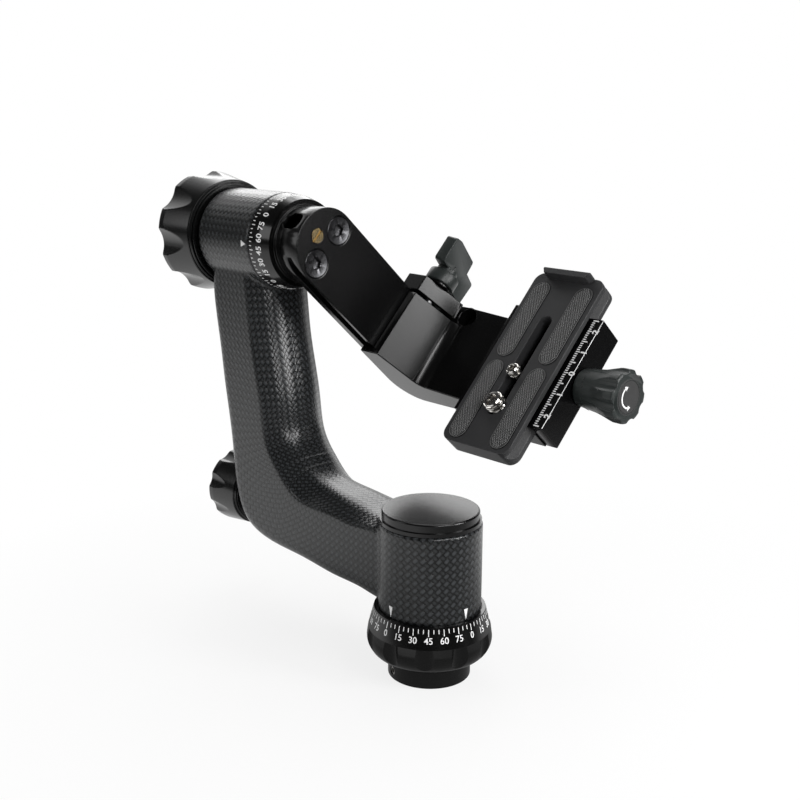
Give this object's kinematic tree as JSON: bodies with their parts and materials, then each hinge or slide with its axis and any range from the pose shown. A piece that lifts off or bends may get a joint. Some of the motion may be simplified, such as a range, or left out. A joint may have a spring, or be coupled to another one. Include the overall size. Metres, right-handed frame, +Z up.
{
  "type": "gimbal tripod head",
  "caption": "Side-mount gimbal head: L-shaped carbon arm on a panning base, swinging arm with a height-adjustable platform, dovetail clamp and camera plate.",
  "frame": {"origin": "centre of the mounting face under the neck, on the pan axis", "axes": "+Z up the pan axis, +X along the tilt axis from the carbon arm towards the camera platform"},
  "size_m": [0.2247, 0.123, 0.2156],
  "materials": {
    "black_anodised": "satin black anodising",
    "black_knob": "satin black, fine grooves",
    "carbon": "carbon fibre weave under satin lacquer",
    "bare_aluminium": "machined",
    "steel": "ground and bright",
    "dark_steel": "dark stainless",
    "chrome": "bright plated",
    "brass": "machined brass",
    "rubber": "knurled black rubber",
    "grip_coat": "soft black grip",
    "washer_plastic": "low-friction plastic"
  },
  "bodies": {
    "base": {"base_plate": "black_anodised", "thread_bush": "steel", "base_set_screw": "dark_steel", "grip_ring": "black_knob", "pan_dial_ring": "black_anodised", "pan_spindle": "steel", "spindle_screws": "dark_steel", "thrust_washer": "washer_plastic", "pan_retaining_nut": "steel"},
    "arm": {"carbon_arm": "carbon", "pan_sleeve_liner": "bare_aluminium", "pan_bearing_lower": "steel", "pan_bearing_upper": "steel", "pan_cap": "black_anodised", "tilt_sleeve_liner": "bare_aluminium", "tilt_bearing_outer": "steel", "tilt_bearing_inner": "steel", "pan_lock_collar": "black_anodised"},
    "pan_pad": {"pan_lock_pad": "brass"},
    "pan_knob": {"pan_lock_knob": "black_knob", "pan_lock_rod": "steel"},
    "tilt_washer": {"tilt_pressure_washer": "washer_plastic"},
    "tilt_knob": {"tilt_lock_knob": "black_knob", "tilt_lock_screw": "steel"},
    "swing": {"tilt_shaft": "steel", "tilt_hub": "black_anodised", "hub_set_screw": "dark_steel", "tilt_dial_ring": "black_anodised", "swing_plate": "black_anodised", "swing_plate_screws": "dark_steel", "brass_stop_screw": "brass"},
    "platform": {"platform_bracket": "black_anodised", "clamp_body": "black_anodised", "clamp_mount_screws": "dark_steel"},
    "side_jaw": {"height_jaw": "black_anodised", "wing_washer": "washer_plastic"},
    "wing": {"wing_knob": "grip_coat", "wing_stud": "steel"},
    "end_jaw": {"clamp_jaw": "black_anodised", "clamp_guide_pins": "steel"},
    "end_knob": {"clamp_knob": "grip_coat", "clamp_screw": "steel"},
    "camera_plate": {"qr_plate": "black_anodised", "rubber_pads": "rubber", "end_stop": "black_anodised", "end_stop_screws": "dark_steel"},
    "large_screw": {"camera_screw_large": "chrome"},
    "screw_carrier": {"slot_washer": "washer_plastic"},
    "small_screw": {"camera_screw_small": "chrome"}
  },
  "joints": [
    {"name": "pan", "type": "hinge", "parent": "base", "child": "arm", "pos_m": [0, 0, 0.05], "axis": [0, 0, 1], "continuous": true},
    {"name": "pan_lock_advance", "type": "slide", "parent": "arm", "child": "pan_pad", "axis": [-1, 0, 0], "range_m": [0, 0.0008]},
    {"name": "pan_lock_turn", "type": "hinge", "parent": "pan_pad", "child": "pan_knob", "pos_m": [-0.1264, 0, 0.0536], "axis": [-1, 0, 0], "range_deg": [0, 290]},
    {"name": "tilt_lock_advance", "type": "slide", "parent": "arm", "child": "tilt_washer", "axis": [-1, 0, 0], "range_m": [0, 0.00125]},
    {"name": "tilt_lock_turn", "type": "hinge", "parent": "tilt_washer", "child": "tilt_knob", "pos_m": [-0.1443, 0, 0.1855], "axis": [-1, 0, 0], "range_deg": [0, 362]},
    {"name": "tilt", "type": "hinge", "parent": "arm", "child": "swing", "pos_m": [-0.1, 0, 0.1855], "axis": [1, 0, 0], "continuous": true},
    {"name": "height_slide", "type": "slide", "parent": "swing", "child": "platform", "axis": [0, 0.7302, -0.6833], "range_m": [-0.012, 0.006]},
    {"name": "side_jaw_slide", "type": "slide", "parent": "platform", "child": "side_jaw", "axis": [0, 0.6833, 0.7302], "range_m": [0, 0.0015]},
    {"name": "wing_turn", "type": "hinge", "parent": "side_jaw", "child": "wing", "pos_m": [-0.065, 0.06674, 0.1614], "axis": [0, 0.6833, 0.7302], "range_deg": [0, 544]},
    {"name": "end_jaw_slide", "type": "slide", "parent": "platform", "child": "end_jaw", "axis": [1, 0, 0], "range_m": [0, 0.003]},
    {"name": "end_knob_turn", "type": "hinge", "parent": "end_jaw", "child": "end_knob", "pos_m": [0.0332, 0.0617, 0.12776], "axis": [1, 0, 0], "range_deg": [0, 1087]},
    {"name": "plate_slide", "type": "slide", "parent": "platform", "child": "camera_plate", "axis": [0, 0.6833, 0.7302], "range_m": [-0.015, 0.015]},
    {"name": "large_screw_turn", "type": "hinge", "parent": "camera_plate", "child": "large_screw", "pos_m": [0.006, 0.03402, 0.1197], "axis": [0, -0.7302, 0.6833], "continuous": true},
    {"name": "small_screw_slide", "type": "slide", "parent": "camera_plate", "child": "screw_carrier", "axis": [0, 0.6833, 0.7302], "range_m": [-0.003, 0.027]},
    {"name": "small_screw_turn", "type": "hinge", "parent": "screw_carrier", "child": "small_screw", "pos_m": [0.006, 0.04605, 0.13255], "axis": [0, -0.7302, 0.6833], "continuous": true}
  ],
  "couplings": [
    {"joint": "pan_lock_turn", "follows": "pan_lock_advance", "rad_per_m": 6283.2},
    {"joint": "tilt_lock_turn", "follows": "tilt_lock_advance", "rad_per_m": 5026.5},
    {"joint": "wing_turn", "follows": "side_jaw_slide", "rad_per_m": 6283.2},
    {"joint": "end_knob_turn", "follows": "end_jaw_slide", "rad_per_m": 6283.2}
  ]
}
